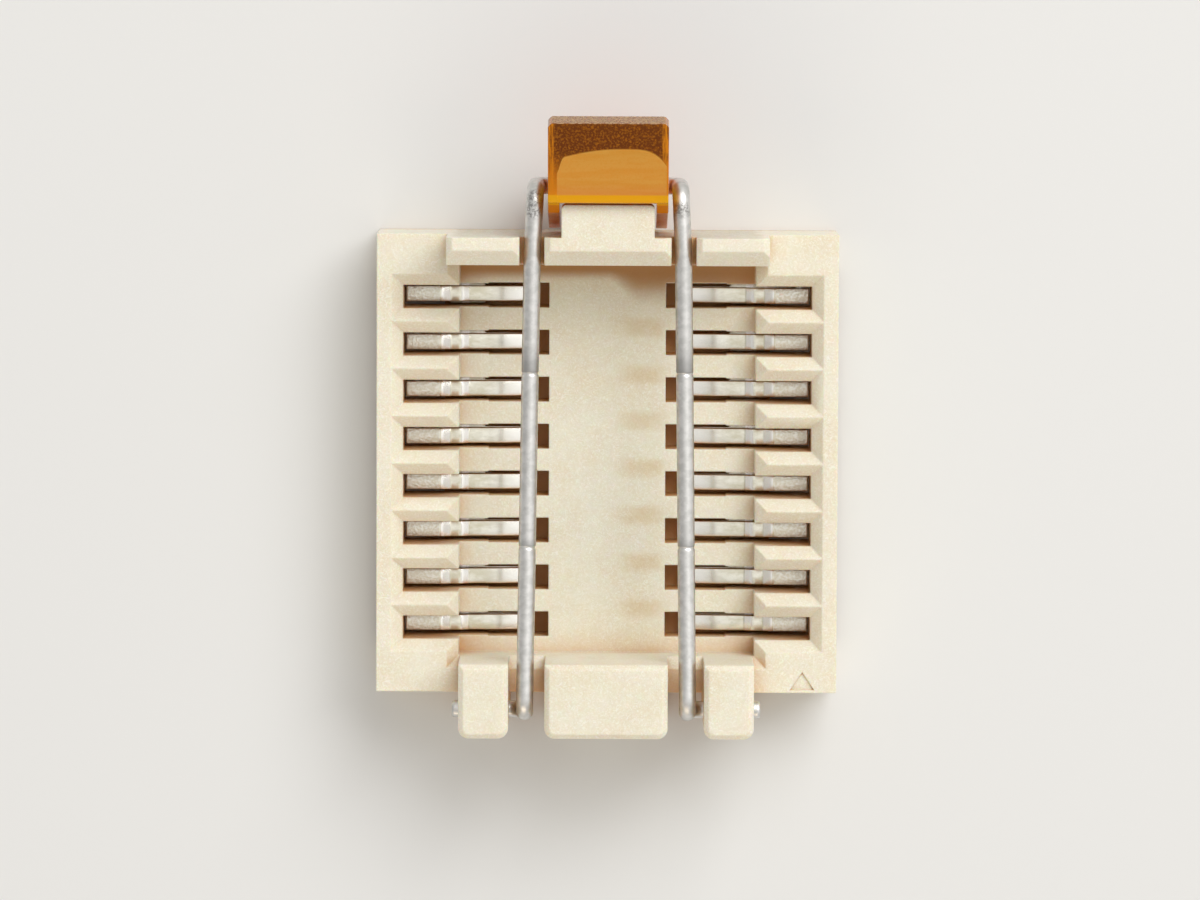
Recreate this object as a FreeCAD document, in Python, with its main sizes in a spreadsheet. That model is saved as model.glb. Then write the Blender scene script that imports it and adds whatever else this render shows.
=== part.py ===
import FreeCAD, Part
import math
import os
import Sketcher
from FreeCAD import Placement, Rotation, Vector

# Surface mount test socket for a wide 16 lead chip, closed by a wire bail and an amber latch.
# Millimetres. The origin is the middle of the socket on the board plane: +X to the right,
# +Y towards the latch, +Z up from the board. The bail's hinge is on the -Y side.

# Sizes in the order in which the socket is put together: name, value, meaning.
SIZES = [
    ("rows", 8, "contacts on each side"),
    ("pitch", 1.27, "spacing of the contact rows"),
    ("end_margin", 1.705, "centre of the last row to the front and back faces"),
    ("front_wall", 0.95, "thickness of the bay's front wall"),
    ("back_wall", 0.75, "thickness of the bay's back wall"),
    ("comb_top", 2.62, "height of the rim and of the ribs"),
    ("floor_top", 1.35, "height of the bay floor"),
    ("bay_half_width", 3.97, "centre line to the sides of the bay"),
    ("slot_reach", 1.5, "side of the bay to the outer end of a slot"),
    ("slot_into_bay", 2.4, "side of the bay to the inner end of a slot"),
    ("slot_step", 0.77, "side of the bay to the step in a slot's width"),
    ("through_reach", 0.43, "side of the bay to where a slot goes right through"),
    ("side_wall", 0.705, "outer end of a slot to the side face"),
    ("slot_floor", 0.2, "height of the floor under the contacts"),
    ("spring_slot_width", 0.67, "slot width under the sprung beam"),
    ("guide_slot_width", 0.62, "slot width that holds the contact's base"),
    ("rib_crest", 0.03, "flat left along the top of a rib"),
    ("tail_relief", 0.28, "height of the side walls above the board"),
    ("tail_relief_margin", 0.55, "relief beyond the centre of the last row"),
    ("notch_clearance", 0.12, "floor of the two wire notches to the wire"),
    ("ridge_height", 0.85, "back ridges above the floor of the notches"),
    ("ridge_bevel", 0.4, "slope along the inner edge of the back ridges"),
    ("ridge_mitre", 0.16, "slope at the ends of the back ridges"),
    ("notch_outer_gap", 0.11, "wire to the side ridges"),
    ("notch_inner_gap", 0.09, "wire to the middle ridge"),
    ("tab_half_width", 1.23, "half the width of the catch tab"),
    ("tab_reach", 0.88, "catch tab beyond the back face"),
    ("tab_thickness", 0.85, "thickness of the catch tab"),
    ("tab_corner", 0.12, "corner radius of the catch tab"),
    ("ear_gap", 0.2, "wire to the inner face of a hinge ear"),
    ("ear_width", 1.33, "width of a hinge ear"),
    ("block_gap", 0.3, "wire to the block between the ears"),
    ("ear_nose", 0.65, "hinge axis to the front of the ears"),
    ("ear_rise", 1.4, "hinge axis to the top of the ears"),
    ("ear_corner", 0.28, "radius of the ears' front corners"),
    ("ear_edge", 0.13, "bevel on the ears' top edges"),
    ("hinge_gap", 0.15, "wire to the front face at the hinge"),
    ("hinge_rise", 0.63, "rim to the hinge axis"),
    ("running_clearance", 0.03, "radial clearance round the wire in its bores"),
    ("mark_side", 0.64, "base of the pin 1 triangle"),
    ("mark_length", 0.48, "height of the pin 1 triangle"),
    ("mark_depth", 0.06, "depth of the pin 1 triangle"),
    ("mark_inset", 0.915, "side face to the middle of the pin 1 triangle"),
    ("mark_edge", 0.08, "pin 1 triangle to the front face"),
    ("strip_thickness", 0.15, "thickness of the contact strip"),
    ("strip_width", 0.42, "width of the contact strip"),
    ("shoulder_clearance", 0.01, "contact shoulder to the wall of its slot"),
    ("shoulder_inset", 0.1, "contact shoulders to the ends of their seat"),
    ("tail_inset", 0.095, "side face to the end of a solder tail"),
    ("tail_bend", 0.25, "outer end of a slot to where the solder tail starts"),
    ("tail_ramp", 0.24, "width of the rise from the tail to the base"),
    ("turn_inset", 0.53, "inner end of a slot to the strip's turn"),
    ("turn_flat", 0.02, "straight between the two bends of the turn"),
    ("turn_drop", 0.135, "top of the turn below the crown of the beam"),
    ("crown_inset", 1.33, "inner end of a slot to the crown of the beam"),
    ("crown_drop", 0.265, "crown of the beam below the contact pad"),
    ("beam_drop", 0.215, "outer end of the beam below the contact pad"),
    ("beam_ramp", 0.21, "width of the rise from the beam to the step"),
    ("step_length", 0.27, "length of the step below the contact pad"),
    ("step_drop", 0.09, "step below the contact pad"),
    ("pad_ramp", 0.26, "width of the rise from the step to the contact pad"),
    ("pad_length", 0.94, "length of the contact pad"),
    ("pad_gap", 0.05, "contact pad to the outer end of the slot"),
    ("pad_drop", 0.2, "top of the contact pad below the bay floor"),
    ("crown_bend", 2.4, "bend radius at the crown of the beam"),
    ("wire_diameter", 0.46, "diameter of the bail wire"),
    ("wire_bend", 0.4, "bend radius of the wire's square bends"),
    ("crossbar_bend", 0.33, "bend radius where the wire enters the latch"),
    ("wire_rise", 1.0, "hinge axis to the wire's runs"),
    ("press_drop", 0.12, "middle of the runs below their ends"),
    ("kink_front", 2.1, "centre line to the front kink of the runs"),
    ("kink_back", 2.53, "centre line to the back kink of the runs"),
    ("run_front_x", 2.17, "centre line to the runs at the hinge"),
    ("run_kink_x", 2.11, "centre line to the runs at the front kink"),
    ("run_middle_x", 2.05, "centre line to the runs at the back kink"),
    ("run_back_x", 2.0, "centre line to the runs in the notches"),
    ("leg_gap", 0.1, "side of the latch to the wire beside it"),
    ("leg_length", 2.75, "wire's runs to the crossbar"),
    ("pin_overhang", 0.19, "hinge pins beyond the ears"),
    ("pivot_gap", 0.37, "tip of the catch tab to the latch pivot"),
    ("release_turn", 10.0, "latch turn from locked to the released rest, degrees"),
    ("cheek_clearance", 0.05, "cheek of the latch to the catch tab"),
    ("cheek_thickness", 0.31, "thickness of the latch's cheeks"),
    ("cheek_gap", 0.13, "front of the cheeks to the back face, locked"),
    ("tip_gap", 0.09, "shank of the latch to the tip of the catch tab, locked"),
    ("hook_grip", 0.2, "hook under the catch tab, locked"),
    ("hook_gap", 0.06, "hook to the underside of the catch tab, locked"),
    ("hook_height", 0.34, "height of the hook's nose"),
    ("groove_lip", 0.15, "latch pivot to the open side of its groove"),
    ("hub_radius", 0.6, "outer radius of the latch round its pivot"),
    ("shank_back", 0.45, "latch pivot to the back of the shank"),
    ("cheek_foot", 0.25, "latch pivot to the lower corner of the cheeks"),
    ("cheek_rise", 0.55, "underside of the catch tab to the top of the cheeks"),
    ("lip_gap", 0.06, "lip of the finger plate above the catch tab, locked"),
    ("lip_height", 0.12, "height of the lip's front edge"),
    ("lip_reach", 0.64, "lip of the finger plate beyond its shank"),
    ("plate_length", 2.165, "length of the finger plate's top"),
    ("plate_thickness", 0.75, "thickness of the finger plate"),
    ("plate_slope", 24.0, "slope of the finger plate when locked, degrees"),
    ("plate_bend", 0.5, "radius under the finger plate"),
    ("plate_corner", 0.1, "bevel on the corners of the finger plate"),
]

# Distances that follow from the sizes, as expressions on the sheet.
WIRE_RADIUS = "(Sizes.wire_diameter / 2)"
LAST_ROW = "((Sizes.rows - 1) / 2 * Sizes.pitch)"
HALF_LENGTH = f"({LAST_ROW} + Sizes.end_margin)"
BAY_FRONT = f"({HALF_LENGTH} - Sizes.front_wall)"
BAY_BACK = f"({HALF_LENGTH} - Sizes.back_wall)"
SLOT_OUTER = "(Sizes.bay_half_width + Sizes.slot_reach)"
SLOT_INNER = "(Sizes.bay_half_width - Sizes.slot_into_bay)"
SLOT_STEP = "(Sizes.bay_half_width - Sizes.slot_step)"
SLOT_THROUGH = "(Sizes.bay_half_width + Sizes.through_reach)"
HALF_WIDTH = f"({SLOT_OUTER} + Sizes.side_wall)"
LEAD_IN = "((Sizes.pitch - Sizes.guide_slot_width - Sizes.rib_crest) / 2)"
RIM_HALF_WIDTH = f"(Sizes.bay_half_width + {LEAD_IN})"
HINGE_REACH = f"({WIRE_RADIUS} + Sizes.hinge_gap)"
HINGE_Y = f"(-{HALF_LENGTH} - {HINGE_REACH})"
HINGE_Z = "(Sizes.comb_top + Sizes.hinge_rise)"
WIRE_Z = f"({HINGE_Z} + Sizes.wire_rise)"
NOTCH_TOP = f"({WIRE_Z} - {WIRE_RADIUS} - Sizes.notch_clearance)"
RIDGE_TOP = f"({NOTCH_TOP} + Sizes.ridge_height)"
TAB_UNDER = f"({RIDGE_TOP} - Sizes.tab_thickness)"
SIDE_RIDGE_INNER = f"(Sizes.run_back_x + {WIRE_RADIUS} + Sizes.notch_outer_gap)"
MIDDLE_RIDGE_HALF = f"(Sizes.run_back_x - {WIRE_RADIUS} - Sizes.notch_inner_gap)"
BLOCK_HALF_WIDTH = f"(Sizes.run_front_x - {WIRE_RADIUS} - Sizes.block_gap)"
EAR_INNER = f"(Sizes.run_front_x + {WIRE_RADIUS} + Sizes.ear_gap)"
EAR_OUTER = f"({EAR_INNER} + Sizes.ear_width)"
BORE_RADIUS = f"({WIRE_RADIUS} + Sizes.running_clearance)"
CHEEK_INNER = "(Sizes.tab_half_width + Sizes.cheek_clearance)"
LATCH_HALF_WIDTH = f"({CHEEK_INNER} + Sizes.cheek_thickness)"
PIVOT_REACH = "(Sizes.tab_reach + Sizes.pivot_gap)"
PIVOT_Y = f"({HALF_LENGTH} + {PIVOT_REACH})"
PIVOT_Z = f"({WIRE_Z} - Sizes.leg_length)"

doc = FreeCAD.newDocument("chip_socket")
sheet = doc.addObject("Spreadsheet::Sheet", "Sizes")
for number, (name, value, meaning) in enumerate(SIZES, start=1):
    sheet.set(f"A{number}", meaning)
    sheet.set(f"B{number}", str(value))
    sheet.setAlias(f"B{number}", name)
doc.recompute()


def size(name):
    """The sheet's value for a name."""
    return float(getattr(sheet, name))


def amount(text):
    """The value of an expression on the sheet's names."""
    return float(sheet.evalExpression(text))


def new_body(label):
    """An empty body under its own label."""
    body = doc.addObject("PartDesign::Body", label)
    body.Label = label
    return body


def new_sketch(body, name, role, height="0"):
    """A sketch on one of the body's origin planes, lifted along the plane's normal."""
    sketch = body.newObject("Sketcher::SketchObject", name)
    plane = next(item for item in body.Origin.OriginFeatures if item.Role == role)
    sketch.AttachmentSupport = [(plane, "")]
    sketch.MapMode = "FlatFace"
    sketch.setExpression("AttachmentOffset.Base.z", height)
    return sketch


def hold(sketch, kind, line, corner, text):
    """Tie one corner of the sketch to a signed distance from its origin."""
    distance = amount(text)
    if distance >= 0:
        rule = Sketcher.Constraint(kind, -1, 1, line, corner, distance)
        bound = text
    else:
        rule = Sketcher.Constraint(kind, line, corner, -1, 1, -distance)
        bound = f"-({text})"
    index = sketch.addConstraint(rule)
    sketch.setExpression(f"Constraints[{index}]", bound)


def rectangle(sketch, left, right, low, high):
    """A rectangle whose sides lie at four signed distances from the sketch's origin."""
    x0, x1, y0, y1 = (amount(text) for text in (left, right, low, high))
    corners = [Vector(x0, y0), Vector(x1, y0), Vector(x1, y1), Vector(x0, y1)]
    first = sketch.GeometryCount
    for start, end in zip(corners, corners[1:] + corners[:1]):
        sketch.addGeometry(Part.LineSegment(start, end), False)
    for side in range(4):
        following = first + (side + 1) % 4
        sketch.addConstraint(Sketcher.Constraint("Coincident", first + side, 2, following, 1))
    for side in (0, 2):
        sketch.addConstraint(Sketcher.Constraint("Horizontal", first + side))
        sketch.addConstraint(Sketcher.Constraint("Vertical", first + side + 1))
    hold(sketch, "DistanceX", first, 1, left)
    hold(sketch, "DistanceX", first + 1, 1, right)
    hold(sketch, "DistanceY", first, 1, low)
    hold(sketch, "DistanceY", first + 2, 1, high)


def circle(sketch, x, y, radius):
    """A circle at a signed place, its radius bound to the sheet."""
    index = sketch.addGeometry(Part.Circle(Vector(amount(x), amount(y)), Vector(0, 0, 1), amount(radius)))
    rule = sketch.addConstraint(Sketcher.Constraint("Radius", index, amount(radius)))
    sketch.setExpression(f"Constraints[{rule}]", radius)
    hold(sketch, "DistanceX", index, 3, x)
    hold(sketch, "DistanceY", index, 3, y)


def corner_arc(before, corner, after, radius):
    """Where a round of this radius starts and ends at a corner, and a point halfway round."""
    towards = (before - corner).normalize()
    away = (after - corner).normalize()
    half_open = towards.getAngle(away) / 2
    reach = radius / math.tan(half_open)
    middle = (towards + away).normalize() * (radius / math.sin(half_open) - radius)
    return corner + towards * reach, corner + middle, corner + away * reach


def rounded_outline(points):
    """A closed outline of lines, with a tangent arc at each corner that has a radius."""
    corners = []
    for index, (corner, radius) in enumerate(points):
        before = points[index - 1][0]
        after = points[(index + 1) % len(points)][0]
        corners.append(corner_arc(before, corner, after, radius) if radius else (corner, None, corner))
    pieces = []
    for index, (first, middle, last) in enumerate(corners):
        if middle is not None:
            pieces.append(Part.Arc(first, middle, last))
        pieces.append(Part.LineSegment(last, corners[(index + 1) % len(corners)][0]))
    return pieces


def fanned_path(points, steps):
    """Straight runs whose bends are fans of short runs that touch the true arc from outside."""
    places = [points[0][0]]
    for (before, _), (corner, radius), (after, _) in zip(points, points[1:], points[2:]):
        if not radius:
            places.append(corner)
            continue
        towards = (before - corner).normalize()
        away = (after - corner).normalize()
        half_open = towards.getAngle(away) / 2
        centre = corner + (towards + away).normalize() * (radius / math.sin(half_open))
        first = (corner + towards * (radius / math.tan(half_open)) - centre).normalize()
        axis = towards.cross(away).normalize()
        turn = math.pi - 2 * half_open
        reach = radius / math.cos(turn / steps / 2)
        for step in range(steps):
            swing = Rotation(axis, -math.degrees(turn * (step + 0.5) / steps))
            places.append(centre + swing.multVec(first) * reach)
    return places + [points[-1][0]]


def beside(point, before, after, distance):
    """A corner of a path moved sideways, so that the runs beside it move by this distance."""
    incoming = (point - before).normalize() if before is not None else (after - point).normalize()
    outgoing = (after - point).normalize() if after is not None else incoming
    left = Vector(-incoming.y - outgoing.y, incoming.x + outgoing.x).normalize()
    spread = left.dot(Vector(-incoming.y, incoming.x))
    return point + left * (distance / spread)


def strip_outline(points, thickness):
    """The closed outline of a bent strip round its middle line."""
    sides = []
    for side in (1, -1):
        line = []
        for index, (point, radius) in enumerate(points):
            before = points[index - 1][0] if index > 0 else None
            after = points[index + 1][0] if index + 1 < len(points) else None
            moved = beside(point, before, after, side * thickness / 2)
            if before is not None and after is not None:
                turn = (point - before).cross(after - point).z
                radius = max(radius - math.copysign(thickness / 2, turn * side), 0) if radius else 0
            line.append((moved, radius))
        sides.append(line)
    return rounded_outline(sides[0] + sides[1][::-1])


def add_shapes(sketch, pieces):
    """Put ready lines and arcs into a sketch."""
    for piece in pieces:
        sketch.addGeometry(piece, False)


def pad(body, name, sketch, length, midplane=False):
    """Build the sketch up along its normal."""
    feature = body.newObject("PartDesign::Pad", name)
    feature.Profile = sketch
    feature.Midplane = midplane
    feature.setExpression("Length", length)
    body.Tip = feature
    return feature


def pocket(body, name, sketch, depth, reverse=False, midplane=False):
    """Cut the sketch into the body, against its normal, or along it when reversed."""
    feature = body.newObject("PartDesign::Pocket", name)
    feature.Profile = sketch
    feature.Reversed = reverse
    feature.Midplane = midplane
    feature.setExpression("Length", depth)
    body.Tip = feature
    return feature


def edges_of(feature, wanted):
    """The names of a feature's edges that pass a test on their bounding box."""
    doc.recompute()
    edges = enumerate(feature.Shape.Edges, start=1)
    return [f"Edge{number}" for number, edge in edges if wanted(edge.BoundBox)]


def near(value, target):
    """True where two lengths agree."""
    return abs(value - target) < 0.001


# The housing is moulded in one piece from a cream heat-resistant plastic.

def row_middle(row):
    """The place of a contact row along Y, as an expression."""
    return f"({row} - (Sizes.rows - 1) / 2) * Sizes.pitch"


def slot_rectangles(sketch, inner, outer, width):
    """A rectangle for every contact, on both sides, all of one width."""
    for row in range(int(size("rows"))):
        low = f"{row_middle(row)} - ({width}) / 2"
        high = f"{row_middle(row)} + ({width}) / 2"
        rectangle(sketch, inner, outer, low, high)
        rectangle(sketch, f"-({outer})", f"-({inner})", low, high)


def add_block(body):
    """The block with the chip bay."""
    outline = new_sketch(body, "block_outline", "XY_Plane")
    rectangle(outline, f"-{HALF_WIDTH}", HALF_WIDTH, f"-{HALF_LENGTH}", HALF_LENGTH)
    pad(body, "block", outline, "Sizes.comb_top")

    bay = new_sketch(body, "bay_outline", "XY_Plane", "Sizes.comb_top")
    rectangle(bay, "-Sizes.bay_half_width", "Sizes.bay_half_width", f"-{BAY_FRONT}", BAY_BACK)
    pocket(body, "bay", bay, "Sizes.comb_top - Sizes.floor_top")


def add_slots(body):
    """The contact slots: wide under the beam, narrow at the base, with a lead-in at the rim."""
    springs = new_sketch(body, "spring_slot_outlines", "XY_Plane", "Sizes.floor_top")
    slot_rectangles(springs, SLOT_INNER, SLOT_STEP, "Sizes.spring_slot_width")
    pocket(body, "spring_slots", springs, "Sizes.floor_top - Sizes.slot_floor")

    guides = new_sketch(body, "guide_slot_outlines", "XY_Plane", "Sizes.comb_top")
    slot_rectangles(guides, SLOT_STEP, SLOT_OUTER, "Sizes.guide_slot_width")
    slots = pocket(body, "guide_slots", guides, "Sizes.comb_top - Sizes.slot_floor")

    lead_in = body.newObject("PartDesign::Chamfer", "lead_in")
    lead_in.Base = (slots, edges_of(slots, lambda box: near(box.ZMin, size("comb_top"))
                                    and max(abs(box.XMin), abs(box.XMax)) < amount(HALF_WIDTH) - 0.001
                                    and max(abs(box.YMin), abs(box.YMax)) < amount(HALF_LENGTH) - 0.001))
    lead_in.setExpression("Size", LEAD_IN)
    body.Tip = lead_in


def add_tail_openings(body):
    """The slots go right through at the tails, under side walls that stop short of the board."""
    openings = new_sketch(body, "through_slot_outlines", "XY_Plane", "Sizes.slot_floor")
    slot_rectangles(openings, SLOT_THROUGH, SLOT_OUTER, "Sizes.guide_slot_width")
    pocket(body, "through_slots", openings, "Sizes.slot_floor")

    relief = new_sketch(body, "tail_relief_outlines", "XY_Plane")
    reach = f"({LAST_ROW} + Sizes.tail_relief_margin)"
    rectangle(relief, SLOT_THROUGH, HALF_WIDTH, f"-{reach}", reach)
    rectangle(relief, f"-{HALF_WIDTH}", f"-{SLOT_THROUGH}", f"-{reach}", reach)
    pocket(body, "tail_relief", relief, "Sizes.tail_relief", reverse=True)


def add_back_wall(body):
    """The raised back wall, its three ridges and the catch tab."""
    wall = new_sketch(body, "back_wall_outline", "XY_Plane", "Sizes.floor_top")
    rectangle(wall, f"-{RIM_HALF_WIDTH}", RIM_HALF_WIDTH, BAY_BACK, HALF_LENGTH)
    pad(body, "back_wall", wall, f"{NOTCH_TOP} - Sizes.floor_top")

    ridges = new_sketch(body, "ridge_outline", "XY_Plane", NOTCH_TOP)
    spans = [(f"-{RIM_HALF_WIDTH}", f"-{SIDE_RIDGE_INNER}"),
             (f"-{MIDDLE_RIDGE_HALF}", MIDDLE_RIDGE_HALF),
             (SIDE_RIDGE_INNER, RIM_HALF_WIDTH)]
    for left, right in spans:
        rectangle(ridges, left, right, BAY_BACK, HALF_LENGTH)
    ridge = pad(body, "ridges", ridges, "Sizes.ridge_height")

    top = amount(RIDGE_TOP)
    slope = body.newObject("PartDesign::Chamfer", "ridge_slope")
    slope.Base = (ridge, edges_of(ridge, lambda box: near(box.ZMin, top)
                                  and near(box.YMax, amount(BAY_BACK))))
    slope.setExpression("Size", "Sizes.ridge_bevel")
    body.Tip = slope
    mitre = body.newObject("PartDesign::Chamfer", "ridge_mitre")
    mitre.Base = (slope, edges_of(slope, lambda box: near(box.ZMin, top) and box.XLength < 0.001))
    mitre.setExpression("Size", "Sizes.ridge_mitre")
    body.Tip = mitre

    tab = new_sketch(body, "tab_outline", "XY_Plane", TAB_UNDER)
    half = size("tab_half_width")
    front = amount(HALF_LENGTH) - size("ridge_mitre")
    tip = amount(HALF_LENGTH) + size("tab_reach")
    corner = size("tab_corner")
    add_shapes(tab, rounded_outline([(Vector(-half, front), 0), (Vector(half, front), 0),
                                     (Vector(half, tip), corner), (Vector(-half, tip), corner)]))
    pad(body, "catch_tab", tab, "Sizes.tab_thickness")


def add_ears(body):
    """Two drilled hinge ears and the block between them, with rounded front corners."""
    outlines = new_sketch(body, "ear_outlines", "XY_Plane")
    back = -amount(BAY_FRONT)
    front = amount(HINGE_Y) - size("ear_nose")
    corner = size("ear_corner")
    inner, outer, block = (amount(text) for text in (EAR_INNER, EAR_OUTER, BLOCK_HALF_WIDTH))
    for left, right in [(-outer, -inner), (-block, block), (inner, outer)]:
        add_shapes(outlines, rounded_outline([(Vector(left, back), 0), (Vector(left, front), corner),
                                              (Vector(right, front), corner), (Vector(right, back), 0)]))
    top = f"({HINGE_Z} + Sizes.ear_rise)"
    ears = pad(body, "ears", outlines, top)

    bevel = body.newObject("PartDesign::Chamfer", "ear_bevel")
    bevel.Base = (ears, edges_of(ears, lambda box: near(box.ZMin, amount(top)) and box.YMax < 0))
    bevel.setExpression("Size", "Sizes.ear_edge")
    body.Tip = bevel

    start = f"({EAR_INNER} - Sizes.running_clearance)"
    for name, height, outwards in (("right", start, True), ("left", f"-{start}", False)):
        bore = new_sketch(body, f"bore_{name}_outline", "YZ_Plane", height)
        circle(bore, HINGE_Y, HINGE_Z, BORE_RADIUS)
        pocket(body, f"bore_{name}", bore, "Sizes.ear_width + 2 * Sizes.running_clearance",
               reverse=outwards)


def add_pin_mark(body):
    """The small sunk triangle that marks pin 1."""
    mark = new_sketch(body, "pin_mark_outline", "XY_Plane", "Sizes.comb_top")
    low = -amount(HALF_LENGTH) + size("mark_edge")
    middle = amount(HALF_WIDTH) - size("mark_inset")
    half = size("mark_side") / 2
    add_shapes(mark, rounded_outline([(Vector(middle - half, low), 0), (Vector(middle + half, low), 0),
                                      (Vector(middle, low + size("mark_length")), 0)]))
    pocket(body, "pin_mark", mark, "Sizes.mark_depth")


def make_housing():
    """The moulded housing, standing on the board plane."""
    body = new_body("housing")
    add_block(body)
    add_slots(body)
    add_tail_openings(body)
    add_back_wall(body)
    add_ears(body)
    add_pin_mark(body)
    body.Placement = Placement()
    return body


# The contacts are stamped from thin tinned strip and bent into a hairpin: a solder tail on the
# board, a base in the slot, a turn near the middle and a sprung beam that carries the pad.

def strip_path():
    """The middle line of the strip from the solder tail to the contact pad, and its bends."""
    half = size("strip_thickness") / 2
    base = size("slot_floor") + half
    pad_level = size("floor_top") - size("pad_drop") - half
    crown = pad_level - size("crown_drop")
    turn_top = crown - size("turn_drop")
    turn_bend = (turn_top - base - size("turn_flat")) / 2
    turn_inner = amount(SLOT_INNER) + size("turn_inset")
    tail_start = amount(SLOT_OUTER) - size("tail_bend")
    pad_outer = amount(SLOT_OUTER) - size("pad_gap")
    pad_inner = pad_outer - size("pad_length")
    step_outer = pad_inner - size("pad_ramp")
    step_inner = step_outer - size("step_length")
    return [
        (Vector(amount(HALF_WIDTH) - size("tail_inset"), half), 0),
        (Vector(tail_start, half), 0),
        (Vector(tail_start - size("tail_ramp"), base), 0),
        (Vector(turn_inner, base), turn_bend),
        (Vector(turn_inner, turn_top), turn_bend),
        (Vector(amount(SLOT_INNER) + size("crown_inset"), crown), size("crown_bend")),
        (Vector(step_inner - size("beam_ramp"), pad_level - size("beam_drop")), 0),
        (Vector(step_inner, pad_level - size("step_drop")), 0),
        (Vector(step_outer, pad_level - size("step_drop")), 0),
        (Vector(pad_inner, pad_level), 0),
        (Vector(pad_outer, pad_level), 0),
    ]


def make_contact(label, side, row):
    """One contact in its slot. The left ones are the right ones turned half round."""
    body = new_body(label)
    profile = new_sketch(body, label + "_profile", "XZ_Plane")
    add_shapes(profile, strip_outline(strip_path(), size("strip_thickness")))
    pad(body, label + "_strip", profile, "Sizes.strip_width", midplane=True)
    shoulders = new_sketch(body, label + "_shoulder_outline", "XZ_Plane")
    rectangle(shoulders, f"{SLOT_STEP} + Sizes.shoulder_inset", f"{SLOT_THROUGH} - Sizes.shoulder_inset",
              "Sizes.slot_floor", "Sizes.slot_floor + Sizes.strip_thickness")
    pad(body, label + "_shoulders", shoulders,
        "Sizes.guide_slot_width - 2 * Sizes.shoulder_clearance", midplane=True)
    turn = 0 if side > 0 else 180
    body.Placement = Placement(Vector(0, 0, 0), Rotation(Vector(0, 0, 1), turn))
    body.setExpression("Placement.Base.y", row_middle(row))
    return body


def make_contacts():
    """Both rows of contacts, numbered from the hinge towards the latch."""
    contacts = []
    for side, name in ((-1, "left"), (1, "right")):
        for row in range(int(size("rows"))):
            contacts.append(make_contact(f"contact_{name}_{row + 1}", side, row))
    return contacts


# The bail is one length of spring wire. It is bent out of the ears, over the bay, down beside
# the latch and across through it. Each square bend is drawn as a fan of short runs.

BEND_RUNS = 4


def bail_path():
    """The wire's middle line, from one pin end to the other, and its bends."""
    bend = size("wire_bend")
    hinge_y, hinge_z, level = (amount(text) for text in (HINGE_Y, HINGE_Z, WIRE_Z))
    pressed = level - size("press_drop")
    notch_y = (amount(BAY_BACK) + amount(HALF_LENGTH)) / 2
    leg_x = amount(f"{LATCH_HALF_WIDTH} + Sizes.leg_gap + {WIRE_RADIUS}")
    right = [
        (Vector(amount(EAR_OUTER) + size("pin_overhang"), hinge_y, hinge_z), 0),
        (Vector(size("run_front_x"), hinge_y, hinge_z), bend),
        (Vector(size("run_front_x"), hinge_y, level), bend),
        (Vector(size("run_kink_x"), -size("kink_front"), pressed), 0),
        (Vector(size("run_middle_x"), size("kink_back"), pressed), 0),
        (Vector(size("run_back_x"), notch_y, level), 0),
        (Vector(leg_x, amount(PIVOT_Y), level), bend),
        (Vector(leg_x, amount(PIVOT_Y), amount(PIVOT_Z)), size("crossbar_bend")),
    ]
    left = [(Vector(-point.x, point.y, point.z), radius) for point, radius in right]
    return right + left[::-1]


def make_bail():
    """The wire swept along its path, with mitred corners."""
    places = fanned_path(bail_path(), BEND_RUNS)
    path = doc.addObject("Part::Feature", "bail_path")
    path.Shape = Part.makePolygon(places)
    section = doc.addObject("Part::Circle", "bail_section")
    section.setExpression("Radius", WIRE_RADIUS)
    section.Placement = Placement(places[0], Rotation(Vector(0, 1, 0), -90))
    bail = doc.addObject("Part::Sweep", "bail")
    bail.Label = "bail"
    bail.Sections = [section]
    bail.Spine = (path, [f"Edge{number + 1}" for number in range(len(path.Shape.Edges))])
    bail.Solid = True
    bail.Frenet = False
    bail.Transition = "Right corner"
    return bail


# The latch is moulded in one piece from an amber translucent plastic. It is drawn in its locked
# place with the pivot at its own origin, and then stands turned back by the release angle.

def latch_heights():
    """From the pivot up to the underside of the catch tab, and to the underside of the plate's lip."""
    tab_under = amount(f"{TAB_UNDER} - {PIVOT_Z}")
    return tab_under, tab_under + size("tab_thickness") + size("lip_gap")


def latch_shank_front():
    """Pivot to the face behind the tip of the catch tab, towards the housing."""
    return size("tip_gap") - size("pivot_gap")


def plate_edges():
    """The finger plate's front edge and back edge, and a unit step down through its thickness."""
    _, lip_under = latch_heights()
    slope = math.radians(size("plate_slope"))
    front = Vector(latch_shank_front() - size("lip_reach"), lip_under + size("lip_height"))
    back = front + Vector(math.cos(slope), math.sin(slope)) * size("plate_length")
    return front, back, Vector(math.sin(slope), -math.cos(slope))


def latch_side_outline():
    """The whole side view: cheeks, hub and finger plate."""
    front = size("cheek_gap") - amount(PIVOT_REACH)
    hub = size("hub_radius")
    tab_under, lip_under = latch_heights()
    plate_front, plate_back, down = plate_edges()
    plate_under = plate_back + down * size("plate_thickness")
    shank = size("shank_back")
    slope = math.radians(size("plate_slope"))
    rise = (plate_under.x - shank) * math.tan(slope)
    return rounded_outline([
        (Vector(front, -size("cheek_foot")), 0),
        (Vector(-hub * math.sin(slope), -hub), 0),
        (Vector(shank, -hub), hub / 2),
        (Vector(shank, plate_under.y - rise), size("plate_bend")),
        (plate_under, 0),
        (plate_back, 0),
        (plate_front, 0),
        (Vector(plate_front.x, lip_under), 0),
        (Vector(front, tab_under + size("cheek_rise")), 0),
    ])


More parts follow.
